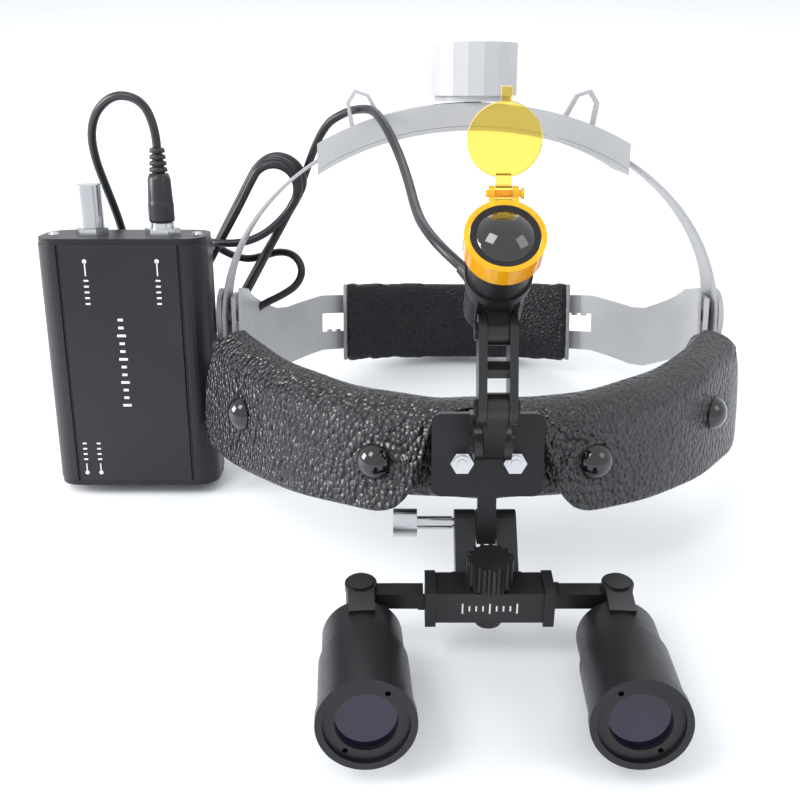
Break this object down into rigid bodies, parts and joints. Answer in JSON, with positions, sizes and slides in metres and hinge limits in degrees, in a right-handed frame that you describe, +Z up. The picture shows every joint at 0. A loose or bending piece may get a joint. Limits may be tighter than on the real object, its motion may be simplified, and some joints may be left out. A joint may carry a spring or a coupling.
{
  "type": "dental loupes",
  "caption": "Ratchet headband with a flip-up binocular loupe, an adjustable LED headlight with an amber filter, a coiled cord and a battery box.",
  "frame": {"origin": "centre of the underside of the bounding box of headset and battery box, without the cord", "axes": "+Z up, the wearer faces -Y, +X to the wearer's left"},
  "size_m": [0.2404, 0.2774, 0.1562],
  "materials": {
    "black_leather": "pebbled, satin",
    "grey_plastic": "satin",
    "black_plastic": "moulded, semi-gloss",
    "black_metal": "matte black anodised",
    "bright_steel": "polished",
    "gloss_black": "glossy",
    "amber_plastic": "clear amber",
    "coated_glass": "coated",
    "clear_glass": "polished",
    "cord_rubber": "satin",
    "cell_wrap": "shrink film",
    "board": "lacquered"
  },
  "bodies": {
    "headband": {"front_band": "grey_plastic", "brow_liner": "black_leather", "front_pad": "black_leather", "front_flaps": "black_leather", "snaps": "gloss_black", "mount_plate": "black_metal", "plate_bolts": "bright_steel", "lock_nuts": "bright_steel", "side_discs": "grey_plastic", "crown_straps": "grey_plastic", "rear_straps": "grey_plastic", "arm_bracket": "black_plastic", "base_pin": "black_metal", "battery_case": "black_metal", "case_end_plates": "black_metal", "end_plate_screws": "bright_steel", "battery_cells": "cell_wrap", "control_board": "board", "panel_fittings": "bright_steel", "plug": "cord_rubber", "lamp_lead": "cord_rubber", "cord_hank": "cord_rubber", "battery_lead": "cord_rubber"},
    "crown": {"crown_housing": "grey_plastic", "crown_cover": "grey_plastic", "cable_clips": "grey_plastic"},
    "crown_knob": {"crown_knob": "grey_plastic"},
    "rear": {"rear_housing": "grey_plastic", "rear_cover": "grey_plastic", "rear_pad": "black_leather"},
    "rear_knob": {"rear_knob": "grey_plastic"},
    "lower_arm": {"lower_link": "black_plastic", "mid_pin": "black_metal"},
    "upper_arm": {"upper_link": "black_plastic", "tilt_pin": "black_metal"},
    "lamp": {"lamp_saddle": "black_plastic", "lamp_heatsink": "black_metal", "lamp_barrel": "black_metal", "led_module": "board", "lamp_lens": "clear_glass", "lamp_gland": "cord_rubber", "filter_ring": "amber_plastic", "filter_pin": "amber_plastic"},
    "filter": {"filter_disc": "amber_plastic"},
    "flip": {"flip_block": "black_metal", "bridge_housing": "black_plastic", "bridge_trim": "black_plastic"},
    "flip_screw": {"flip_screw": "bright_steel"},
    "adjuster": {"adjuster_knob": "black_plastic"},
    "left_arm": {"left_arm": "black_plastic"},
    "right_arm": {"right_arm": "black_plastic"},
    "left_loupe": {"left_bracket": "black_plastic", "left_barrel": "black_metal", "left_retaining_ring": "black_metal", "left_optics": "coated_glass"},
    "right_loupe": {"right_bracket": "black_plastic", "right_barrel": "black_metal", "right_retaining_ring": "black_metal", "right_optics": "coated_glass"},
    "dimmer": {"dimmer_knob": "bright_steel"}
  },
  "joints": [
    {"name": "crown_height", "type": "slide", "parent": "headband", "child": "crown", "axis": [0, 0.1805, 0.9836], "range_m": [-0.015, 0.002], "deforming": ["crown_straps", "lamp_lead"]},
    {"name": "crown_knob_turn", "type": "hinge", "parent": "crown", "child": "crown_knob", "pos_m": [0.02913, 0.03976, 0.1258], "axis": [0, 0.1805, 0.9836], "range_deg": [-300, 50]},
    {"name": "rear_fit", "type": "slide", "parent": "headband", "child": "rear", "axis": [0, 0.9397, -0.342], "range_m": [-0.015, 0.003], "deforming": ["rear_straps"]},
    {"name": "rear_knob_turn", "type": "hinge", "parent": "rear", "child": "rear_knob", "pos_m": [0.02913, 0.12109, 0.01575], "axis": [0, 0.9397, -0.342], "range_deg": [-300, 70]},
    {"name": "lamp_arm_base", "type": "hinge", "parent": "headband", "child": "lower_arm", "pos_m": [0.02913, -0.07828, 0.06315], "axis": [1, 0, 0], "range_deg": [-12, 35], "deforming": ["lamp_lead"]},
    {"name": "lamp_arm_mid", "type": "hinge", "parent": "lower_arm", "child": "upper_arm", "pos_m": [0.02913, -0.08488, 0.07795], "axis": [1, 0, 0], "range_deg": [-25, 40]},
    {"name": "lamp_tilt", "type": "hinge", "parent": "upper_arm", "child": "lamp", "pos_m": [0.02913, -0.07688, 0.09595], "axis": [1, 0, 0], "range_deg": [-20, 45]},
    {"name": "filter_flip", "type": "hinge", "parent": "lamp", "child": "filter", "pos_m": [0.02913, -0.07497, 0.13148], "axis": [1, 0, 0], "range_deg": [0, 105]},
    {"name": "loupe_flip", "type": "hinge", "parent": "headband", "child": "flip", "pos_m": [0.02913, -0.06688, 0.02995], "axis": [-1, 0, 0], "range_deg": [0, 45]},
    {"name": "flip_screw_turn", "type": "hinge", "parent": "headband", "child": "flip_screw", "pos_m": [0.02913, -0.06688, 0.02995], "axis": [1, 0, 0], "range_deg": [-180, 180]},
    {"name": "left_arm_slide", "type": "slide", "parent": "flip", "child": "left_arm", "axis": [-1, 0, 0], "range_m": [-0.004, 0.002]},
    {"name": "right_arm_slide", "type": "slide", "parent": "flip", "child": "right_arm", "axis": [1, 0, 0], "range_m": [-0.004, 0.002]},
    {"name": "adjuster_turn", "type": "hinge", "parent": "flip", "child": "adjuster", "pos_m": [0.02913, -0.08788, 0.01995], "axis": [0, 0, 1], "range_deg": [-57.3, 114.6]},
    {"name": "left_swivel", "type": "hinge", "parent": "left_arm", "child": "left_loupe", "pos_m": [-0.00688, -0.08788, 0.01995], "axis": [0, 0, 1], "range_deg": [-15, 15]},
    {"name": "right_swivel", "type": "hinge", "parent": "right_arm", "child": "right_loupe", "pos_m": [0.06513, -0.08788, 0.01995], "axis": [0, 0, 1], "range_deg": [-15, 15]},
    {"name": "dimmer_turn", "type": "hinge", "parent": "headband", "child": "dimmer", "pos_m": [-0.10268, 0.02193, 0.09066], "axis": [0, 0.1736, 0.9848], "range_deg": [0, 280]}
  ],
  "couplings": [
    {"joint": "crown_knob_turn", "follows": "crown_height", "rad_per_m": 333.33},
    {"joint": "rear_knob_turn", "follows": "rear_fit", "rad_per_m": 333.33},
    {"joint": "adjuster_turn", "follows": "left_arm_slide", "rad_per_m": -500},
    {"joint": "right_arm_slide", "follows": "left_arm_slide", "ratio": 1}
  ]
}
